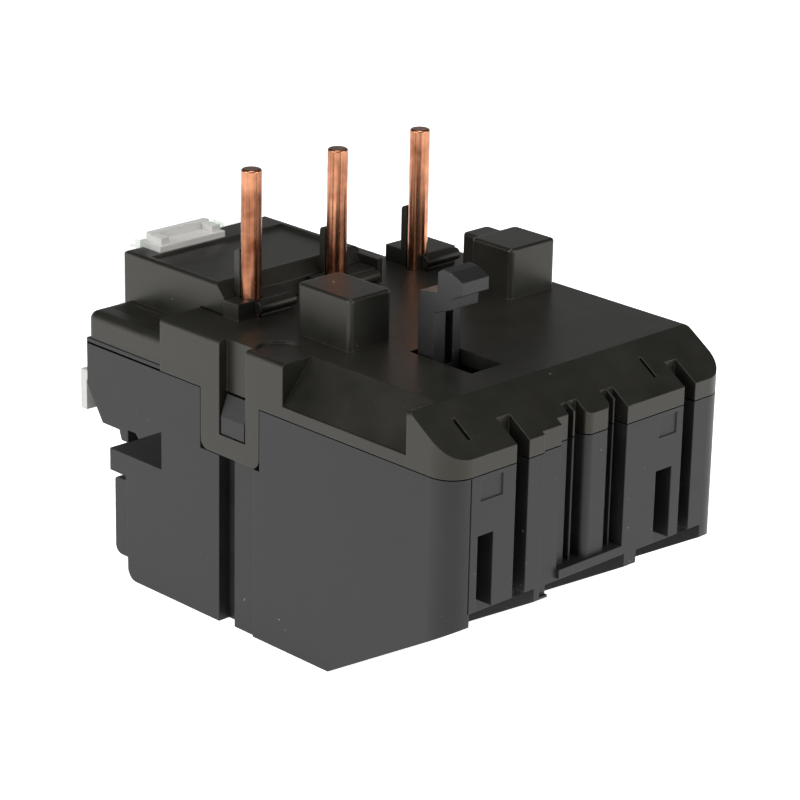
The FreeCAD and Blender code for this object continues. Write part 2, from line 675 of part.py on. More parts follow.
def marker_strip():
    """White strip below the control screws, hooked on the block's face."""
    low = 19.3
    high = control_screw_z - control_hole_radius
    profile = [(front, low), (front, high), (block_front, high), (block_front, high - 1.2),
               (front + 1.1, high - 1.2), (front + 1.1, low)]
    return prism_x(profile, -side + 1.0, side - 0.6)


# ---- dial and buttons -------------------------------------------------------------------------
def setting_dial():
    face = block_front - 0.4
    knob = rod_y(dial_radius, face, face + 2.0, dial_x, panel_z)
    rim = [e for e in knob.Edges if abs(e.CenterOfMass.y - face) < 1e-6 and len(e.Vertexes) == 1]
    knob = knob.makeFillet(0.3, rim)
    slot = box(dial_x - 2.4, dial_x + 2.4, face - 1, face + 0.9, panel_z - 0.45, panel_z + 0.45)
    teeth = []
    for i in range(12):
        angle = 2 * math.pi * i / 12
        x = dial_x + dial_radius * math.cos(angle)
        z = panel_z + dial_radius * math.sin(angle)
        teeth.append(rod_y(0.28, face + 0.5, face + 3, x, z))
    return cut_all(knob, [slot] + teeth)


def dial_spindle():
    """Spindle behind the dial with the eccentric that sets the trip current."""
    start = block_front - 0.4 + 2.0
    shaft = rod_y(shaft_radius, start, web_y + 5.0, dial_x, panel_z)
    collar = rod_y(2.2, start, start + 0.8, dial_x, panel_z)
    cam = rod_y(2.0, web_y + 2.4, web_y + 4.4, dial_x + 0.8, panel_z)
    return shaft.fuse([collar, cam]).removeSplitter()


def push_plunger(x, z, radius):
    """Stem of a push button, with the flange that its spring bears on."""
    start = block_front - 0.2
    stem = rod_y(0.7, start, web_y - 2.0, x, z)
    tail = rod_y(shaft_radius, web_y - 2.2, web_y + 2.6, x, z)
    flange = rod_y(radius + 0.4, block_front + 1.5, block_front + 2.2, x, z)
    return stem.fuse([tail, flange]).removeSplitter()


def push_cap(x, z, radius):
    start = front + 0.2
    cap = rod_y(radius, start, block_front + 1.5, x, z)
    rim = [e for e in cap.Edges if abs(e.CenterOfMass.y - start) < 1e-6 and len(e.Vertexes) == 1]
    cap = cap.makeFillet(0.4, rim)
    return cap.cut(rod_y(0.7 + pivot_gap, block_front - 0.2, block_front + 2, x, z))


def reset_knob():
    cap = push_cap(reset_x, panel_z, reset_radius)
    return cap.cut(box(reset_x - 1.7, reset_x + 1.7, front - 1, front + 0.9, panel_z - 0.35, panel_z + 0.35))


def coil_spring(x, z, radius, wire, y0, y1, turns):
    pitch = (y1 - y0 - wire) / turns
    helix = Part.makeHelix(pitch, pitch * turns, radius)
    lean = math.atan2(pitch, 2 * math.pi * radius)
    corners = []
    for i in range(7):
        across = wire / 2 * math.cos(math.radians(60 * i))
        up = wire / 2 * math.sin(math.radians(60 * i))
        corners.append(Vec(radius + across, -up * math.sin(lean), up * math.cos(lean)))
    section = Part.makePolygon(corners)
    coil = Part.Wire(helix.Edges).makePipeShell([section], True, True)
    coil.rotate(Vec(0, 0, 0), X_AXIS, -90)
    coil.translate(Vec(x, y0 + wire / 2, z))
    return coil


def button_spring(x, z, radius):
    return coil_spring(x, z, radius, 0.4, block_front + 2.3, web_y - 0.1, 4)


def trip_flag():
    """Indicator behind the window, drawn along by the trip bar's post."""
    plate = box(flag_x0 - 2.4, flag_x1, block_front + 1.6, block_front + 2.4, flag_z - 1.2, flag_z + 1.0)
    stem = box(flag_x1 - 1.0, flag_x1, block_front + 1.6, block_front + 2.4, flag_fork_z, flag_z)
    arm = box(flag_x1 - 1.0, flag_x1, block_front + 1.6, post_y + 1.6, flag_fork_z, flag_fork_top)
    fork = box(flag_x1 - 1.0, post_x + 2.3, post_y - 0.9, post_y + 1.6, flag_fork_z, flag_fork_top)
    gap = box(post_x - seat_gap, post_x + 1.2 + seat_gap, post_y - seat_gap, post_y + 2,
              flag_fork_z - 1, flag_fork_top + 1)
    return plate.fuse([stem, arm, fork]).cut(gap).removeSplitter()


# ---- copper and bimetals ----------------------------------------------------------------------
def plug_pin(x):
    """Round plug pin with its foot strip down into the heater chamber."""
    pin = rod_z(pin_radius, pin_foot_z, cover_top + pin_reach, x, pin_y)
    tip = [e for e in pin.Edges if abs(e.CenterOfMass.z - cover_top - pin_reach) < 1e-6]
    pin = pin.makeFillet(0.25, [e for e in tip if len(e.Vertexes) == 1])
    half = pin_foot_width / 2
    tail_y = joint_y + chamber_front_wall + 1.0
    foot = box(x - half, x + half, pin_y - pin_radius, tail_y + pin_foot_thickness,
               pin_foot_z - 0.1, pin_foot_z - 0.1 + pin_foot_thickness)
    tail = box(x - half, x + half, tail_y, tail_y + pin_foot_thickness, 20.5, pin_foot_z)
    return pin.fuse([foot, tail]).removeSplitter()


def bimetal(x):
    x0 = x + bimetal_x_offset - bimetal_thickness / 2
    wide = bimetal_width / 2
    tip = bimetal_tip_width / 2
    outline = [(bimetal_y - wide, bimetal_pivot_z), (bimetal_y + wide, bimetal_pivot_z),
               (bimetal_y + wide, bimetal_shoulder_z - 1.5), (bimetal_y + tip, bimetal_shoulder_z),
               (bimetal_y + tip, bimetal_tip_z), (bimetal_y - tip, bimetal_tip_z),
               (bimetal_y - tip, bimetal_shoulder_z), (bimetal_y - wide, bimetal_shoulder_z - 1.5)]
    return prism_x(outline, x0, x0 + bimetal_thickness)


def heater(x):
    """Flat ribbon wound round the bimetal, as linked loops, with a lead to the pin's tail."""
    cx = x + bimetal_x_offset
    inner_x = bimetal_thickness / 2
    inner_y = bimetal_width / 2
    outer_x = inner_x + heater_thickness
    outer_y = inner_y + heater_thickness
    loops = []
    for i in range(heater_turns):
        z0 = heater_foot_z + i * heater_pitch
        ring = box(cx - outer_x, cx + outer_x, bimetal_y - outer_y, bimetal_y + outer_y, z0,
                   z0 + heater_ribbon)
        loops.append(ring.cut(box(cx - inner_x, cx + inner_x, bimetal_y - inner_y, bimetal_y + inner_y,
                                  z0 - 1, z0 + 2)))
        if i < heater_turns - 1:
            loops.append(box(cx + inner_x, cx + outer_x, bimetal_y - 1 + i * 0.3, bimetal_y + i * 0.3,
                             z0 + heater_ribbon - 0.1, z0 + heater_pitch + 0.1))
    last = heater_foot_z + (heater_turns - 1) * heater_pitch
    tail_back = joint_y + chamber_front_wall + 1.0 + pin_foot_thickness
    loops.append(box(cx - 0.5, cx + 0.5, tail_back + move_gap, bimetal_y - inner_y - 0.1,
                     last, last + heater_ribbon))
    return loops[0].fuse(loops[1:]).removeSplitter()


def load_terminal(x):
    """Copper bar from the bimetal's root to the face that the load wire is clamped on."""
    half = bar_width / 2
    top = bay_top - seat_gap
    rise_y = joint_y + chamber_front_wall + 0.15
    root = x + bimetal_x_offset
    plate = box(x - half, x + half, bar_front, bar_front + bar_thickness, bay_floor + 0.1, top)
    bridge = box(x - half, x + half, bar_front, rise_y + bar_thickness, top - bar_thickness, top)
    drop = box(x - 2.6, x + 2.6, rise_y, rise_y + bar_thickness, chamber_floor + 0.1, top)
    reach = bimetal_width / 2 + move_gap
    floor = box(x - 2.6, x + 2.6, rise_y, bimetal_y + reach + root_cheek, chamber_floor + 0.1,
                chamber_floor + 0.1 + bar_thickness)
    cheeks = [box(root - 0.9, root + 0.9, y0, y0 + root_cheek, chamber_floor + 1, bimetal_pivot_z + 0.8)
              for y0 in (bimetal_y - reach - root_cheek, bimetal_y + reach)]
    pin = rod_y(root_pin_radius, bimetal_y - reach - 0.1, bimetal_y + reach + 0.1, root, bimetal_pivot_z)
    return plate.fuse([bridge, drop, floor] + cheeks + [pin]).removeSplitter()


def rooted_bimetal(x):
    """The strip's root is rolled round the terminal's pin."""
    root = x + bimetal_x_offset
    y0 = bimetal_y - bimetal_width / 2
    y1 = bimetal_y + bimetal_width / 2
    roll = rod_y(root_radius, y0, y1, root, bimetal_pivot_z)
    bore = rod_y(root_pin_radius + pivot_gap, y0 - 1, y1 + 1, root, bimetal_pivot_z)
    return bimetal(x).fuse(roll).cut(bore).removeSplitter()


def power_clamp(x):
    """Steel box clamp, drawn forward by its screw."""
    half = clamp_width / 2
    bore = half - 1.0
    y1 = bar_front + bar_thickness + wire_space + clamp_wall
    y0 = bar_front - seat_gap * 2 - 1.2
    z0 = bay_floor + 0.2
    outer = box(x - half, x + half, y0, y1, z0, z0 + clamp_height)
    outer = rounded(outer, 0.6, Z_AXIS, lambda c: True)
    inner = box(x - bore, x + bore, y0 + 1.2, y1 - clamp_wall, z0 - 1, z0 + clamp_height + 1)
    thread = rod_y(power_thread_radius + pivot_gap, y0 - 1, y0 + 2, x, power_screw_z)
    return outer.cut(inner).cut(thread)


def screw(x, z, y0, head_radius, head_length, thread_radius, y1):
    head = rod_y(head_radius, y0, y0 + head_length, x, z)
    rim = [e for e in head.Edges if abs(e.CenterOfMass.y - y0) < 1e-6 and len(e.Vertexes) == 1]
    head = head.makeFillet(head_length * 0.35, rim)
    body = head.fuse(rod_y(thread_radius, y0 + head_length - 0.1, y1, x, z))
    long_slot = head_radius * 0.72
    cross = [box(x - long_slot, x + long_slot, y0 - 1, y0 + head_length * 0.6, z - 0.35, z + 0.35),
             box(x - 0.35, x + 0.35, y0 - 1, y0 + head_length * 0.6, z - long_slot, z + long_slot)]
    return cut_all(body, cross).removeSplitter()


def power_screw(x):
    head_y = bay_front + seat_gap
    return screw(x, power_screw_z, head_y, power_head_radius, power_head_length, power_thread_radius,
                 bar_front - 0.02)


# ---- control contacts -------------------------------------------------------------------------
def control_screw(x):
    head_y = pocket_front + move_gap
    return screw(x, control_screw_z, head_y, control_head_radius, control_head_length,
                 control_thread_radius, contact_y + contact_thickness + 0.3)


def control_clamp(x):
    """Square saddle under the screw's head that presses the wire on the contact bar."""
    half = saddle_width / 2
    y0 = saddle_y
    plate = box(x - half, x + half, y0, y0 + saddle_thickness, control_screw_z - saddle_height,
                control_screw_z + 2.2)
    tabs = [box(x + s * (half - 0.3) - 0.3, x + s * (half - 0.3) + 0.3, y0, y0 + saddle_tab,
                control_screw_z - saddle_height, control_screw_z - 1) for s in (-1, 1)]
    saddle = plate.fuse(tabs).removeSplitter()
    return saddle.cut(rod_y(control_thread_radius + pivot_gap, y0 - 1, y0 + 3, x, control_screw_z))


def contact_bar(x):
    """Brass bar in one control pocket, with the strip that leads back over the wall."""
    plate = box(x - 3.4, x + 3.4, contact_y, contact_y + contact_thickness, 21.6, control_screw_z + 2.2)
    bore = rod_y(control_thread_radius + pivot_gap, contact_y - 1, contact_y + 2, x, control_screw_z)
    strip = box(x - 0.6, x + 1.6, contact_y, leaf_y + 2.4, strip_z, strip_z + strip_thickness)
    return plate.cut(bore).fuse(strip).removeSplitter()


def fixed_contact(x, leg_x, way):
    """Terminal bar of a fixed contact, its leg bent down to a button that faces one way along X."""
    reach = box(min(x - 0.6, leg_x - 0.3), max(x + 1.6, leg_x + 0.3), leaf_y - 0.2, leaf_y + 2.4,
                strip_z, strip_z + strip_thickness)
    leg = box(leg_x - 0.3, leg_x + 0.3, leaf_y - 0.2, leaf_y + 2.4, contact_tip_z - 0.5, strip_z + 0.1)
    face = leg_x + way * button_height
    button = rod_x(0.8, min(leg_x, face), max(leg_x, face), leaf_y + 1.1, contact_tip_z)
    return contact_bar(x).fuse([reach, leg, button]).removeSplitter()


def leaf_mount(x, leaf_x):
    """Terminal bar that carries a moving contact leaf on a short rivet."""
    reach = box(min(x - 0.6, leaf_x - 0.5), max(x + 1.6, leaf_x + 0.5), leaf_y - 0.2, leaf_y + 2.4,
                strip_z, strip_z + strip_thickness)
    cheek = box(leaf_x - 0.5, leaf_x + 0.5, leaf_y + 1.8, leaf_y + 2.4, contact_pivot_z - 0.7, strip_z + 0.1)
    pin = rod_y(0.35, leaf_y - 0.1, leaf_y + 1.9, leaf_x, contact_pivot_z)
    return contact_bar(x).fuse([reach, cheek, pin]).removeSplitter()


def contact_leaf(leaf_x, way):
    """Moving contact leaf with its silver button."""
    blade = box(leaf_x - 0.15, leaf_x + 0.15, leaf_y, leaf_y + 1.6, leaf_foot, contact_pivot_z)
    eye = rod_y(0.75, leaf_y, leaf_y + 1.6, leaf_x, contact_pivot_z)
    face = leaf_x + way * leaf_button
    button = rod_x(0.7, min(leaf_x, face), max(leaf_x, face), leaf_y + 0.8, contact_tip_z)
    leaf = blade.fuse([eye, button])
    return leaf.cut(rod_y(0.35 + pivot_gap, leaf_y - 1, leaf_y + 3, leaf_x, contact_pivot_z)).removeSplitter()


# ---- trip slides, lever and bar ----------------------------------------------------------------
def trip_slide(z0, arm):
    """Comb slide over the bimetals' tips."""
    y0 = bimetal_y - slide_width / 2
    y1 = bimetal_y + slide_width / 2
    body = box(slide_x0, slide_x1, y0, y1, z0, z0 + slide_thickness)
    slots = []
    for x in pole_places:
        centre = x + bimetal_x_offset
        half = bimetal_thickness / 2 + move_gap
        reach = bimetal_tip_width / 2 + move_gap
        slots.append(box(centre - half, centre + half, bimetal_y - reach, bimetal_y + reach, z0 - 1, z0 + 2))
    body = cut_all(body, slots)
    if arm:
        body = body.fuse(box(slide_x0 - 0.6, arm_x1, arm_y0, y1, z0, z0 + slide_thickness))
    return body.removeSplitter()


def trip_lever():
    """Ambient-compensating lever that carries the slides' movement to the trip bar."""
    y0 = mech_front + move_gap
    y1 = mech_back - move_gap
    half = lever_thickness / 2
    blade = box(lever_pivot_x - half, lever_pivot_x + half, y0 + 1.2, y1 - 1.2, lever_foot_z,
                slide_high_z + slide_thickness)
    hub = rod_y(1.6, y0, y1, lever_pivot_x, lever_pivot_z)
    bore = rod_y(lever_shaft_radius + pivot_gap, y0 - 1, y1 + 1, lever_pivot_x, lever_pivot_z)
    return blade.fuse(hub).cut(bore).removeSplitter()


def lever_shaft():
    return rod_y(lever_shaft_radius - 0.02, mech_front - 1.1, mech_back + 0.9, lever_pivot_x, lever_pivot_z)


def trip_bar():
    """Bar under the contact leaves, with a pusher for each leaf and the post for the flag."""
    y0 = trip_bar_y - trip_bar_width / 2
    y1 = trip_bar_y + trip_bar_width / 2
    top = trip_bar_z + trip_bar_height
    lug_x = lever_pivot_x - lever_thickness / 2 - 0.2
    bar = box(lug_x - 0.5, 16.0, y0, y1, trip_bar_z, top)
    lug = box(lug_x - 0.5, lug_x, y0, y1, trip_bar_z, lever_foot_z + 0.6)
    pushers = [box(x + 0.25, x + 1.2, y0 + 0.6, y1, trip_bar_z, pusher_top) for x in (nc_leaf_x, no_leaf_x)]
    foot = box(post_x, post_x + 1.2, post_y, y1, trip_bar_z, top)
    post = box(post_x, post_x + 1.2, post_y, post_y + 1.2, trip_bar_z, flag_fork_top + 0.4)
    ear = box(spring_x1 + 0.1, spring_x1 + 0.8, y1 - 0.1, mech_back - move_gap, trip_bar_z, trip_bar_z + 1.8)
    return bar.fuse([lug, foot, post, ear] + pushers).removeSplitter()


def snap_spring():
    """Spring that holds the trip bar, between its ear and the housing's peg."""
    coil = coil_spring(0, 0, 0.8, 0.3, 0, spring_x1 - spring_x0, 6)
    coil.rotate(Vec(0, 0, 0), Z_AXIS, -90)
    coil.translate(Vec(spring_x0, mech_back - 1.1, mech_floor + 1.1))
    return coil


# ---- every sub-part ----------------------------------------------------------------------------
nodes = {
    "heater_housing": heater_housing(),
    "terminal_housing": terminal_housing(),
    "terminal_shroud": terminal_shroud(),
    "top_cover": top_cover(),
    "hook_latch": hook_latch(),
    "front_cap": front_cap(),
    "clear_lid": clear_lid(),
    "marker_tag": marker_tag(),
    "marker_strip": marker_strip(),
    "setting_dial": setting_dial(),
    "dial_spindle": dial_spindle(),
    "reset_knob": reset_knob(),
    "reset_plunger": push_plunger(reset_x, panel_z, reset_radius),
    "reset_spring": button_spring(reset_x, panel_z, 1.9),
    "stop_button": push_cap(stop_x, stop_z, stop_radius),
    "stop_plunger": push_plunger(stop_x, stop_z, stop_radius),
    "stop_spring": button_spring(stop_x, stop_z, 1.5),
    "trip_flag": trip_flag(),
    "trip_slide_lower": trip_slide(slide_low_z, False),
    "trip_slide_upper": trip_slide(slide_high_z, True),
    "trip_lever": trip_lever(),
    "lever_shaft": lever_shaft(),
    "trip_bar": trip_bar(),
    "snap_spring": snap_spring(),
    "contact_95": leaf_mount(control_places[0], nc_leaf_x),
    "contact_leaf_nc": contact_leaf(nc_leaf_x, 1),
    "contact_96": fixed_contact(control_places[1], nc_leg_x, -1),
    "contact_97": fixed_contact(control_places[2], no_leg_x, 1),
    "contact_98": leaf_mount(control_places[3], no_leaf_x),
    "contact_leaf_no": contact_leaf(no_leaf_x, -1),
}
for number, place in enumerate(pole_places, start=1):
    nodes[f"plug_pin_{number}"] = plug_pin(place)
    nodes[f"bimetal_{number}"] = rooted_bimetal(place)
    nodes[f"heater_{number}"] = heater(place)
    nodes[f"load_terminal_{number}"] = load_terminal(place)
    nodes[f"power_clamp_{number}"] = power_clamp(place)
    nodes[f"power_screw_{number}"] = power_screw(place)
for number, place in enumerate(control_places, start=1):
    nodes[f"control_screw_{number}"] = control_screw(place)
    nodes[f"control_clamp_{number}"] = control_clamp(place)

for name, shape in nodes.items():
    shape.exportStep(os.path.join("parts", name + ".step"))
    print(name, len(shape.Solids), round(shape.Volume, 1), shape.isValid())
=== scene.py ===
# %% [markdown]
# # A thermal overload relay
#
# This small box of black plastic plugs under a contactor and guards a motor. Three copper pins stand
# out of its top, a sprung hook grips the contactor, and a dial behind a clear lid sets the current at
# which it trips. The frame below brings in every solid of the relay, already in its place, in metres.
# The lesson dresses those solids: first the camera, then a small kit for shader maths and one finish
# for each material, then the fine details that are only there to be looked at, and last the table
# and the lamps.

# %% Bring in the relay
import json
import math

import bmesh
import bpy
from mathutils import Euler, Matrix, Vector


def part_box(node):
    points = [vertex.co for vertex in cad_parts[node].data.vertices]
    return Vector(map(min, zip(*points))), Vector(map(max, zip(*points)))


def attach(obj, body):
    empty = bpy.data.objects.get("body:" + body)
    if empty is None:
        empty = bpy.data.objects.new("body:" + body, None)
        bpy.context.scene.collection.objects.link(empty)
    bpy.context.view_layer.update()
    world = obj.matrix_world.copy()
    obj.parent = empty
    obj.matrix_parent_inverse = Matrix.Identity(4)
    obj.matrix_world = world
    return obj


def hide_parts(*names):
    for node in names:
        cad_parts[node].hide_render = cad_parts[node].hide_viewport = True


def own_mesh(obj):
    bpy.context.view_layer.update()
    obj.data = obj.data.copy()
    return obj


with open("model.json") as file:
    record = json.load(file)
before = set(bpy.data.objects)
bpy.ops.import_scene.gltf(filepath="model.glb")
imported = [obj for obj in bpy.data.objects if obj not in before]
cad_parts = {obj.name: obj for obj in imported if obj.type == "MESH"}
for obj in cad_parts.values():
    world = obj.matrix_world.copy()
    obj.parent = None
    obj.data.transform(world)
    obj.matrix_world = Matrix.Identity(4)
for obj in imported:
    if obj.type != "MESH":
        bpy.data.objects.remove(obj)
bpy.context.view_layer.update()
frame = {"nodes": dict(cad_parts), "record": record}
nodes = frame["nodes"]
MM = 0.001
print("solids brought in:", len(nodes))

# %% [markdown]
# ## Where the camera stands
#
# The relay is shown from above its ribbed face, with one long side in view. A long lens keeps the
# upright edges nearly parallel, as a product picture does. A camera could be aimed with a constraint,
# but a plain place and three angles are easier to read, and they leave the slight tilt in our hands.

# %% Place the camera
NOD, ROLL, HEADING = 69.816, -1.152, 135.790
lens = bpy.data.cameras.new("camera")
lens.sensor_width = 36.0
lens.lens = 139.12
lens.clip_start = 0.02
lens.clip_end = 20.0
lens.dof.use_dof = False
camera = bpy.data.objects.new("camera", lens)
camera.location = (0.23992, 0.24385, 0.14942)
camera.rotation_euler = Euler([math.radians(a) for a in (NOD, ROLL, HEADING)])
bpy.context.scene.collection.objects.link(camera)
bpy.context.scene.camera = camera
bpy.context.scene.view_settings.view_transform = "Standard"
print("camera height above the table in mm:", round(camera.location.z / MM))

# %% [markdown]
# ## Shader maths as plain sums
#
# A finish is a graph of nodes, and a long graph is hard to read as a list of links. The class Wire
# wraps one output socket, so that `1 - mask * 0.5` adds the Math nodes by itself. One helper call for
# each sum would do the same, but a formula shows better what is mixed with what.

# %% A wrapped socket
def feed(tree, socket, value):
    if isinstance(value, Wire):
        tree.links.new(value.socket, socket)
    else:
        socket.default_value = value


def pick(sockets, key):
    if isinstance(key, int):
        return sockets[key]
    named = [s for s in sockets if s.identifier == key] or [s for s in sockets if s.name == key]
    return named[0]


class Wire:
    """One output socket that takes part in sums."""

    def __init__(self, tree, socket):
        self.tree = tree
        self.socket = socket

    def maths(self, operation, *values):
        node = self.tree.nodes.new("ShaderNodeMath")
        node.operation = operation
        for socket, value in zip(node.inputs, values):
            feed(self.tree, socket, value)
        return Wire(self.tree, node.outputs[0])

    def __add__(self, other):
        return self.maths("ADD", self, other)

    def __radd__(self, other):
        return self.maths("ADD", other, self)

    def __sub__(self, other):
        return self.maths("SUBTRACT", self, other)

    def __rsub__(self, other):
        return self.maths("SUBTRACT", other, self)

    def __mul__(self, other):
        return self.maths("MULTIPLY", self, other)

    def __rmul__(self, other):
        return self.maths("MULTIPLY", other, self)

    def above(self, edge, width):
        """0 below the edge, 1 above it, with a soft step of that width."""
        ramp = (self - edge) * (1.0 / width) + 0.5
        return ramp.maths("MINIMUM", ramp.maths("MAXIMUM", ramp, 0.0), 1.0)


print("sums ready:", [name for name in vars(Wire) if name.strip("_") in ("add", "sub", "mul")])

# %% [markdown]
# ## One method for every other node
#
# The class Graph makes any other node with its method node, which sets the node's own settings first
# and feeds its sockets next. A Finish is the graph of one material. It knows what the relay's
# materials share: a noise, a blend of two colours, edges that look rounded, and a relief.

# %% A graph and a finish
EDGE_SAMPLES = 6


class Graph:
    """A node tree in the making."""

    def __init__(self, tree):
        self.tree = tree

    def node(self, kind, settings=(), values=(), out=0):
        node = self.tree.nodes.new(kind)
        for key, value in dict(settings).items():
            setattr(node, key, value)
        for key, value in dict(values).items():
            feed(self.tree, pick(node.inputs, key), value)
        return Wire(self.tree, pick(node.outputs, out)) if len(node.outputs) else None


class Finish(Graph):
    """A material in the making."""

    def __init__(self, name, **sockets):
        self.material = bpy.data.materials.new(name)
        self.material.use_nodes = True
        super().__init__(self.material.node_tree)
        self.shader = self.tree.nodes["Principled BSDF"]
        self.place = self.node("ShaderNodeTexCoord", out="Object")
        for key, value in sockets.items():
            self.set(key.replace("_", " "), value)

    def set(self, key, value):
        feed(self.tree, pick(self.shader.inputs, key), value)

    def stretched(self, scale):
        return self.node("ShaderNodeMapping", values={"Vector": self.place, "Scale": scale})

    def noise(self, scale, detail=2.0, roughness=0.5, place=None):
        values = {"Vector": place or self.place, "Scale": scale, "Detail": detail,
                  "Roughness": roughness}
        return self.node("ShaderNodeTexNoise", values=values, out="Fac")

    def blend(self, amount, first, second):
        values = {"Factor_Float": amount, "A_Color": first, "B_Color": second}
        return self.node("ShaderNodeMix", {"data_type": "RGBA"}, values, "Result_Color")

    def rounded_edges(self, radius):
        return self.node("ShaderNodeBevel", {"samples": EDGE_SAMPLES}, {"Radius": radius})

    def relief(self, height, depth, normal, strength=1.0):
        return self.node("ShaderNodeBump", values={
            "Height": height, "Distance": depth, "Strength": strength, "Normal": normal})

    def plain(self):
        return Wire(self.tree, self.shader.outputs[0])

    def show(self, amount, first, second):
        """Let the surface show a mix of two shaders."""
        mixed = self.node("ShaderNodeMixShader", values={0: amount, 1: first, 2: second})
        feed(self.tree, self.tree.nodes["Material Output"].inputs["Surface"], mixed)


def rgba(red, green, blue):
    return (red, green, blue, 1.0)


print("a finish knows:", [name for name in vars(Finish) if not name.startswith("_")])

# %% [markdown]
# ## Moulded plastic
#
# The housings are glass-filled nylon. Up close it has a fine, slightly pebbled skin from the mould,
# faint cloudy bands where the melt flowed, and a few specks of dust. A picture of such a skin could be
# wrapped round the box, but noises in the part's own space fit every face without a seam, so one
# function makes every plastic. A slow noise shades the colour and the gloss as far as `cloud` says,
# rare specks carry `dust`, a fine noise raises the grain, and a Bevel node makes each sharp edge look
# rounded by `edge` millimetres, so that it catches the light.

# %% A function for moulded plastics
# How fine each noise is, in waves to the metre.
FLOW, PATCHES, WAVES, SPECKS, DUSTY_AREAS = 90.0, 320.0, 140.0, 1500.0, 60.0
WAVE_DEPTH = 0.02
DUST = rgba(0.42, 0.41, 0.39)


def moulded(name, colour, gloss, grain_size, grain_depth, cloud=0.25, dust=0.5, edge=0.16,
            **sockets):
    finish = Finish(name, **sockets)
    flow = finish.noise(FLOW, 3.0, place=finish.stretched((1.0, 1.0, 2.2)))
    patches = finish.noise(PATCHES)
    tone = (flow - 0.5) * cloud + (patches - 0.5) * (cloud * 0.5)
    light = rgba(*[min(1.0, c * 1.7) for c in colour])
    dark = rgba(*[c * 0.45 for c in colour])
    shaded = finish.blend(tone + 0.45, dark, light)
    speck = (finish.noise(SPECKS, 1.0).above(0.80, 0.03)
             * finish.noise(DUSTY_AREAS, 1.0).above(0.5, 0.2))
    finish.set("Base Color", finish.blend(speck * dust, shaded, DUST))
    finish.set("Roughness", gloss + (flow - 0.5) * 0.18 + (patches - 0.5) * 0.10)
    grain = finish.noise(1000.0 / grain_size, 3.0, 0.6)
    height = grain * grain_depth + finish.noise(WAVES) * WAVE_DEPTH
    finish.set("Normal", finish.relief(height, MM, finish.rounded_edges(edge * MM)))
    return finish


print("dusty areas and their specks in mm:", round(1.0 / DUSTY_AREAS / MM), round(1.0 / SPECKS / MM, 1))

# %% [markdown]
# ## The plastics of the relay
#
# The lower housings are matt black, the cover and the cap are smoother and a little warmer, and the
# inner slides are the pale natural plastic. White, blue, red and orange are for the holder, the
# buttons and the flag. Light doesn't reach into the joint below the cover, which is a hair wide, so
# the housing's finish turns to a dark, dull shader there. A groove in the mesh would cost many faces
# for a line that thin.

# %% The plastics
SEAM_WIDTH = 0.13 * MM


def with_seam(finish, height, width):
    """Darken the narrow joint with the moulding above, where no light gets in."""
    rise = finish.node("ShaderNodeSeparateXYZ", values={0: finish.place}, out="Z") - height
    seam = rise.maths("LESS_THAN", rise.maths("ABSOLUTE", rise), width)
    dark = finish.node("ShaderNodeBsdfDiffuse", values={"Color": rgba(0.002, 0.002, 0.002)})
    finish.show(seam, finish.plain(), dark)


housing = moulded("housing_plastic", (0.0150, 0.0150, 0.0152), 0.46, 0.22, 0.010, cloud=0.7,
                  Specular_IOR_Level=0.34)
cover = moulded("cover_plastic", (0.0125, 0.0122, 0.0100), 0.36, 0.26, 0.006, cloud=0.9,
                Specular_IOR_Level=0.42, Specular_Tint=rgba(1.0, 0.97, 0.86))
lip = max(corner.z for corner in map(Vector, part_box("heater_housing")))
with_seam(housing, lip, SEAM_WIDTH)
latch = moulded("latch_plastic", (0.0125, 0.013, 0.013), 0.38, 0.30, 0.004, cloud=0.6,
                Specular_IOR_Level=0.42)
inner = moulded("inner_plastic", (0.42, 0.39, 0.32), 0.5, 0.3, 0.004, Specular_IOR_Level=0.4)
white = moulded("white_plastic", (0.78, 0.755, 0.67), 0.45, 0.35, 0.003, cloud=0.12, dust=0.1)
dial = moulded("dial_plastic", (0.74, 0.74, 0.71), 0.4, 0.35, 0.003, cloud=0.12, dust=0.1)
blue = moulded("blue_plastic", (0.02, 0.12, 0.42), 0.33, 0.4, 0.003, cloud=0.15, dust=0.2)
red = moulded("red_plastic", (0.55, 0.03, 0.022), 0.33, 0.4, 0.003, cloud=0.15, dust=0.2)
orange = moulded("flag_plastic", (0.8, 0.25, 0.02), 0.45, 0.4, 0.003, cloud=0.15, dust=0.1)
print("joint below the cover at mm:", round(lip / MM, 1))

# %% [markdown]
# ## Clear plastic
#
# The lid is clear polycarbonate. Light passes through it with little loss, so it shows mostly by a
# haze and by the shine along its edges. Transmission with the true refractive index would bend the
# light inside the thin plate and outline it in black. So most of the light goes straight through a
# transparent shader, and a glossy one is mixed in, more of it where the face is seen at a slant.

# %% The clear lid's finish
FACE_ON, SLANTED = 0.09, 0.30
clear = Finish("clear_plastic", Base_Color=rgba(0.80, 0.82, 0.80), IOR=1.58)
haze = clear.noise(160.0, 3.0)
clear.set("Roughness", 0.10 + haze * 0.10)
clear.set("Normal", clear.relief(clear.noise(260.0), MM, clear.rounded_edges(0.25 * MM), strength=0.03))
window = clear.node("ShaderNodeBsdfTransparent", values={"Color": rgba(0.93, 0.95, 0.93)})
slant = clear.node("ShaderNodeLayerWeight", values={"Blend": 0.25}, out="Facing")
clear.show(FACE_ON + slant * SLANTED, window, clear.plain())
print("clear plastic made, nodes:", len(clear.tree.nodes))

# %% [markdown]
# ## Copper and the other metals
#
# The pins are cut from drawn copper: fine lines run along their length, and handling leaves warm
# brown patches. A noise stretched along Z gives the lines, both as colour and as relief, and a second,
# slower noise darkens the metal unevenly towards its dull colour. Brass, plated steel and the alloys
# of the bimetals and heaters are worked in the same way, so they share the function and differ only
# by their two colours, their gloss and the direction and depth of their lines.

# %% Metals
METAL_PATCHES, METAL_EDGE = 180.0, 0.10


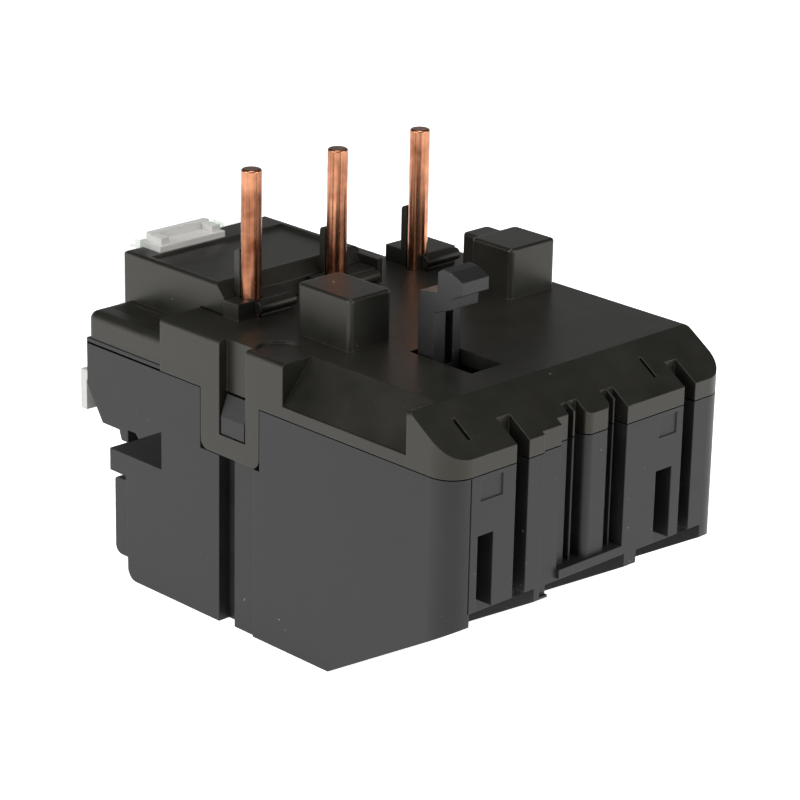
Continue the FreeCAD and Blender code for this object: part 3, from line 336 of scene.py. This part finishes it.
def metal(name, bright, dull, gloss, line_scale, line_depth):
    finish = Finish(name, Metallic=1.0)
    lines = finish.noise(1.0, 3.0, 0.6, finish.stretched(line_scale))
    patches = finish.noise(METAL_PATCHES, 3.0, 0.6)
    wear = (patches - 0.45) * 2.2 + (lines - 0.5) * 0.9
    finish.set("Base Color", finish.blend(wear.above(0.15, 0.9), rgba(*bright), rgba(*dull)))
    finish.set("Roughness", gloss + (lines - 0.5) * 0.16 + (patches - 0.5) * 0.22)
    finish.set("Normal", finish.relief(lines, line_depth * MM,
                                       finish.rounded_edges(METAL_EDGE * MM)))
    return finish


metals = {row[0]: metal(*row) for row in (
    ("copper", (0.66, 0.30, 0.17), (0.13, 0.04, 0.018), 0.24, (2600.0, 2600.0, 60.0), 0.006),
    ("brass", (0.80, 0.60, 0.26), (0.50, 0.34, 0.12), 0.34, (900.0, 3500.0, 900.0), 0.003),
    ("plated_steel", (0.66, 0.67, 0.70), (0.40, 0.41, 0.42), 0.36, (2200.0, 700.0, 2200.0), 0.004),
    ("screw_steel", (0.70, 0.70, 0.72), (0.42, 0.42, 0.43), 0.30, (1500.0, 1500.0, 1500.0), 0.003),
    ("spring_steel", (0.62, 0.62, 0.64), (0.32, 0.32, 0.34), 0.28, (1800.0, 1800.0, 1800.0), 0.002),
    ("bimetal_steel", (0.58, 0.55, 0.50), (0.36, 0.32, 0.28), 0.32, (700.0, 900.0, 5200.0), 0.003),
    ("heater_alloy", (0.46, 0.42, 0.38), (0.20, 0.15, 0.13), 0.38, (1400.0, 1400.0, 4200.0), 0.003),
)}
print("metals made:", list(metals))

# %% [markdown]
# ## Dress the solids
#
# Each solid keeps its mesh and gets its finish through its material slot, found by the start of its
# name. Where one sub-part is a pair or a set, the same finish serves all of it.

# %% Give each solid its finish
steel = metals["spring_steel"]
finishes = {
    "heater_housing": housing, "terminal_housing": housing, "terminal_shroud": housing,
    "top_cover": cover, "front_cap": cover, "hook_latch": latch, "clear_lid": clear,
    "marker_": white, "setting_dial": dial, "dial_spindle": steel, "reset_knob": blue,
    "reset_plunger": inner, "stop_button": red, "stop_plunger": inner, "trip_flag": orange,
    "trip_slide": inner, "trip_bar": inner, "trip_lever": metals["bimetal_steel"],
    "bimetal_": metals["bimetal_steel"], "heater_1": metals["heater_alloy"],
    "heater_2": metals["heater_alloy"], "heater_3": metals["heater_alloy"],
    "lever_shaft": steel, "reset_spring": steel, "stop_spring": steel, "snap_spring": steel,
    "plug_pin": metals["copper"], "load_terminal": metals["copper"], "contact_": metals["brass"],
    "power_clamp": metals["plated_steel"], "control_clamp": metals["plated_steel"],
    "power_screw": metals["screw_steel"], "control_screw": metals["screw_steel"],
}
for name, solid in nodes.items():
    start = max((s for s in finishes if name.startswith(s)), key=len)
    solid.data.materials.clear()
    solid.data.materials.append(finishes[start].material)
print("solids dressed:", len(nodes))

# %% [markdown]
# ## Recipes for what repeats
#
# Ticks round a dial and ribs round a knob are one small bar, many times. Geometry Nodes place such
# copies from a count, a radius and a step, so one recipe serves every ring. The sizes are named inputs
# of the tree. The result becomes a plain mesh, moved to its place, and the modifier goes away again.

# %% A recipe with named sizes
FACING = Matrix.Rotation(math.radians(90.0), 4, "X")
ALONG_X = Matrix.Rotation(math.radians(90.0), 4, "Y")


class Recipe(Graph):
    """A Geometry Nodes tree in the making."""

    def __init__(self, name, **sizes):
        super().__init__(bpy.data.node_groups.new(name, "GeometryNodeTree"))
        sockets = self.tree.interface
        for label, value in sizes.items():
            kind = "NodeSocketInt" if isinstance(value, int) else "NodeSocketFloat"
            sockets.new_socket(label, in_out="INPUT", socket_type=kind).default_value = value
        sockets.new_socket("Finish", in_out="INPUT", socket_type="NodeSocketMaterial")
        sockets.new_socket("Mesh", in_out="OUTPUT", socket_type="NodeSocketGeometry")

    def size(self, label):
        return self.node("NodeGroupInput", out=label)

    def serve(self, mesh):
        """End the tree: the copies become real and get their finish."""
        mesh = self.node("GeometryNodeRealizeInstances", values={"Geometry": mesh})
        mesh = self.node("GeometryNodeSetMaterial", values={
            "Geometry": mesh, "Material": self.size("Finish")})
        self.node("NodeGroupOutput", values={0: mesh})

    def make(self, name, body, slot, place, turn=FACING, **sizes):
        """Cook one plain mesh, turn it, put it in its place and let it ride on a body."""
        thing = bpy.data.objects.new(name, bpy.data.meshes.new(name))
        bpy.context.scene.collection.objects.link(thing)
        modifier = thing.modifiers.new("recipe", "NODES")
        modifier.node_group = self.tree
        for item in self.tree.interface.items_tree:
            if item.name in sizes:
                modifier[item.identifier] = sizes[item.name]
        cooked = thing.evaluated_get(bpy.context.evaluated_depsgraph_get())
        mesh = bpy.data.meshes.new_from_object(cooked)
        thing.modifiers.clear()
        thing.data = mesh
        mesh.transform(Matrix.Translation(place) @ turn)
        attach(thing, body)
        return thing


print("a recipe knows:", [name for name in vars(Recipe) if not name.startswith("_")])

# %% [markdown]
# ## A ring of bars and a coil of wire
#
# The first recipe sets one bar on each point of a circle and turns it to its own radius. An array
# round an empty would do so too, but it needs a second object for its angle. The second recipe
# sweeps a round wire along a spiral that keeps its radius, which is what a coil spring is.

# %% Two recipes
TURN_STEPS, WIRE_SIDES = 28, 12


def ring_of_bars():
    """Count bars round a circle in the XY plane, each lying along its own radius."""
    recipe = Recipe("ring_of_bars", Count=12, Radius=4.0 * MM, First=0.0, Step=0.5,
                    Length=0.5 * MM, Width=0.2 * MM, Height=0.2 * MM)
    index = recipe.node("GeometryNodeInputIndex")
    angle = recipe.size("First") + index * recipe.size("Step")
    radius = recipe.size("Radius")
    place = recipe.node("ShaderNodeCombineXYZ", values={
        "X": radius * angle.maths("COSINE", angle), "Y": radius * angle.maths("SINE", angle)})
    points = recipe.node("GeometryNodePoints", values={
        "Count": recipe.size("Count"), "Position": place})
    euler = recipe.node("ShaderNodeCombineXYZ", values={"Z": angle})
    turn = recipe.node("FunctionNodeEulerToRotation", values={"Euler": euler})
    bar_size = recipe.node("ShaderNodeCombineXYZ", values={
        "X": recipe.size("Length"), "Y": recipe.size("Width"), "Z": recipe.size("Height")})
    bar = recipe.node("GeometryNodeMeshCube", values={"Size": bar_size})
    recipe.serve(recipe.node("GeometryNodeInstanceOnPoints", values={
        "Points": points, "Instance": bar, "Rotation": turn}))
    return recipe


def coil():
    """Round wire wound from Z = 0 up to the height."""
    recipe = Recipe("coil", Turns=4.0, Radius=1.5 * MM, Height=5.0 * MM, Wire=0.2 * MM)
    radius = recipe.size("Radius")
    path = recipe.node("GeometryNodeCurveSpiral", values={
        "Resolution": TURN_STEPS, "Rotations": recipe.size("Turns"), "Start Radius": radius,
        "End Radius": radius, "Height": recipe.size("Height")})
    wire = recipe.node("GeometryNodeCurvePrimitiveCircle", values={
        "Resolution": WIRE_SIDES, "Radius": recipe.size("Wire")})
    tube = recipe.node("GeometryNodeCurveToMesh", values={
        "Curve": path, "Profile Curve": wire, "Fill Caps": True})
    recipe.serve(recipe.node("GeometryNodeSetShadeSmooth", values={"Geometry": tube}))
    return recipe


bars = ring_of_bars()
coils = coil()
print("recipes ready:", bars.tree.name, coils.tree.name)

# %% [markdown]
# ## The dial's scale and the buttons' grip
#
# The dial is read against fine white ticks printed on the cap. The blue reset cap and the red stop
# button have fine ribs, so that a fingertip or a blade can hold them. All three are rings of bars,
# and their radii come from the boxes of the solids that they stand on, so they stay fitted.

# %% Ticks and ribs
TICK_GAP, RIB_SINK = 0.75 * MM, 0.02 * MM
BEHIND_FACE = Vector((0.0, 0.45 * MM, 0.0))
paint = moulded("white_paint", (0.80, 0.80, 0.76), 0.55, 0.3, 0.002, cloud=0.2, dust=0.2, edge=0.02)
ink = moulded("black_ink", (0.02, 0.02, 0.02), 0.5, 0.3, 0.002, cloud=0.2, dust=0.1, edge=0.02)


def face_of(name):
    """Middle of the face that a node turns to the operator, and half the node's width."""
    low, high = map(Vector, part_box(name))
    return Vector(((low.x + high.x) / 2, low.y, (low.z + high.z) / 2)), (high.x - low.x) / 2


dial_face, dial_radius = face_of("setting_dial")
reset_face, reset_radius = face_of("reset_knob")
stop_face, stop_radius = face_of("stop_button")
bars.make("dial_ticks", "relay", "white_plastic", dial_face,
          Count=15, Radius=dial_radius + TICK_GAP, First=math.radians(20.0),
          Step=math.radians(10.0), Length=0.5 * MM, Width=0.14 * MM, Height=0.05 * MM,
          Finish=paint.material)
bars.make("reset_grip", "reset_knob", "blue_plastic", reset_face + BEHIND_FACE,
          Count=36, Radius=reset_radius - RIB_SINK, Step=math.radians(10.0),
          Length=0.16 * MM, Width=0.16 * MM, Height=0.6 * MM, Finish=blue.material)
bars.make("stop_grip", "stop_button", "red_plastic", stop_face + BEHIND_FACE,
          Count=24, Radius=stop_radius - RIB_SINK, Step=math.radians(15.0),
          Length=0.14 * MM, Width=0.14 * MM, Height=0.6 * MM, Finish=red.material)
print("radii of dial, reset cap and stop button in mm:",
      [round(radius / MM, 2) for radius in (dial_radius, reset_radius, stop_radius)])

# %% [markdown]
# ## The dial's numerals
#
# Six plain numerals are printed on the dial and turn with it. They could be painted by the shader,
# but text turned into a mesh stays sharp however near the camera comes. Each digit is a few
# hundredths of a millimetre proud of the dial, and one mesh holds them all.

# %% Numerals on the dial
DIGITS, DIGIT_HEIGHT, DIGIT_CIRCLE = 6, 1.15 * MM, 0.66


def numeral(digit, place):
    text = bpy.data.curves.new("numeral", "FONT")
    text.body = str(digit)
    text.size = DIGIT_HEIGHT
    text.align_x = "CENTER"
    text.align_y = "CENTER"
    text.extrude = 0.02 * MM
    text.resolution_u = 3
    helper = bpy.data.objects.new("numeral", text)
    bpy.context.scene.collection.objects.link(helper)
    cooked = helper.evaluated_get(bpy.context.evaluated_depsgraph_get())
    mesh = bpy.data.meshes.new_from_object(cooked)
    bpy.data.objects.remove(helper)
    mesh.transform(Matrix.Translation(place) @ FACING)
    return mesh


numbers = bmesh.new()
for digit in range(1, DIGITS + 1):
    angle = math.radians(270.0 - 360.0 / DIGITS * digit)
    outwards = Vector((math.cos(angle), 0.0, math.sin(angle)))
    numbers.from_mesh(numeral(digit, dial_face + outwards * (dial_radius * DIGIT_CIRCLE)))
mesh = bpy.data.meshes.new("dial_numerals")
numbers.to_mesh(mesh)
numbers.free()
mesh.materials.clear()
mesh.materials.append(ink.material)
numerals = bpy.data.objects.new("dial_numerals", mesh)
bpy.context.scene.collection.objects.link(numerals)
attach(numerals, "dial")
print("numeral faces:", len(mesh.polygons))

# %% [markdown]
# ## Springs of round wire
#
# Three coil springs work inside: one under each button, and one that snaps the trip bar back. The
# plain solids have six-sided wire, so round wire takes their place, wound by the second recipe.

# %% Wind the springs
def spring(name, joint, turns, wire, axis):
    low, high = map(Vector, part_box(name))
    centre = (low + high) / 2
    along_x = axis == 0
    radius = (high.z - low.z) / 2 - wire
    length = high[axis] - low[axis]
    anchor = centre.copy()
    anchor[axis] = low[axis] if along_x else high[axis]
    start = anchor.copy()
    start[axis] += wire if along_x else -wire
    thing = coils.make(name + "_wire", "relay", "spring_steel", start,
                       ALONG_X if along_x else FACING, Turns=turns, Radius=radius,
                       Height=length - 2 * wire, Wire=wire, Finish=steel.material)
    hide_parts(name)
    travel = joints[joint]["range_m"][1]
    1.0 - travel / length
    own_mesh(thing)
    return len(thing.data.polygons)


joints = {joint["name"]: joint for joint in frame["record"]["behaviour"]["joints"]}
for name, joint, turns, wire, axis in (("reset_spring", "reset_push", 4.0, 0.2 * MM, 1),
                                       ("stop_spring", "stop_push", 4.0, 0.2 * MM, 1),
                                       ("snap_spring", "trip_bar_move", 6.0, 0.15 * MM, 0)):
    print(name, "faces:", spring(name, joint, turns, wire, axis))

# %% [markdown]
# ## A white table
#
# The relay stands on a large white table. Lit only by the lamps it would look grey, and stronger
# lamps would bleach the relay. So its paper glows a little, but only for what looks at it straight,
# through the clear lid or in a shiny face. Everything else sees plain paper, which keeps the shadow.

# %% The table
HALF_TABLE = 8.0
PAPER_GLOW = 0.92
sheet = bpy.data.meshes.new("table")
corners = [(x * HALF_TABLE, y * HALF_TABLE, 0.0) for x, y in ((-1, -1), (1, -1), (1, 1), (-1, 1))]
sheet.from_pydata(corners, [], [(0, 1, 2, 3)])
table = bpy.data.objects.new("table", sheet)
bpy.context.scene.collection.objects.link(table)
paper = Finish("table_paper", Roughness=0.9)
paper.set("Base Color", rgba(0.86, 0.86, 0.86))
seen = paper.node("ShaderNodeLightPath", out="Is Camera Ray")
for ray in ("Is Transmission Ray", "Is Glossy Ray"):
    seen = seen.maths("MAXIMUM", seen, paper.node("ShaderNodeLightPath", out=ray))
paper.set("Emission Color", rgba(1.0, 1.0, 1.0))
paper.set("Emission Strength", seen * PAPER_GLOW)
table.data.materials.append(paper.material)
print("table width in m:", 2 * HALF_TABLE)

# %% [markdown]
# ## Lamps and sky
#
# Black plastic reads by its edges and its grain, so two broad lamps stand low, one at the long side
# and one at the ribbed face, and a third hangs above. The world is pale near the horizon and dim
# overhead, which keeps the shiny top from turning grey. A sky with the same strength all round would
# be simpler, but the top would mirror it.

# %% Place the lamps and the sky
MIDDLE = Vector((0.0, 0.0, 0.02))
LOW_PANEL, TOP_PANEL = (0.7, 0.5), (0.5, 0.5)
SKY_BASE, SKY_GLOW, GLOW_EDGE, GLOW_WIDTH = 0.09, 0.9, 0.19, 0.12


def lamp(name, place, size, watts):
    data = bpy.data.lights.new(name, "AREA")
    data.shape = "RECTANGLE"
    data.size, data.size_y = size
    data.energy = watts
    thing = bpy.data.objects.new(name, data)
    thing.location = place
    thing.rotation_euler = (MIDDLE - Vector(place)).to_track_quat("-Z", "Y").to_euler()
    bpy.context.scene.collection.objects.link(thing)


lamp("side_lamp", (0.75, -0.10, 0.30), LOW_PANEL, 4.0)
lamp("rear_lamp", (-0.25, 0.80, 0.30), LOW_PANEL, 3.5)
lamp("top_lamp", (0.10, 0.05, 0.9), TOP_PANEL, 4.0)

world = bpy.data.worlds.new("studio")
world.use_nodes = True
bpy.context.scene.world = world
sky = Graph(world.node_tree)
direction = sky.node("ShaderNodeTexCoord", out="Generated")
rise = sky.node("ShaderNodeSeparateXYZ", values={0: direction}, out="Z")
glow = 1.0 - rise.above(GLOW_EDGE, GLOW_WIDTH)
background = sky.tree.nodes["Background"]
feed(sky.tree, background.inputs["Color"], rgba(1.0, 1.0, 1.0))
feed(sky.tree, background.inputs["Strength"], SKY_BASE + glow * SKY_GLOW)

# %% [markdown]
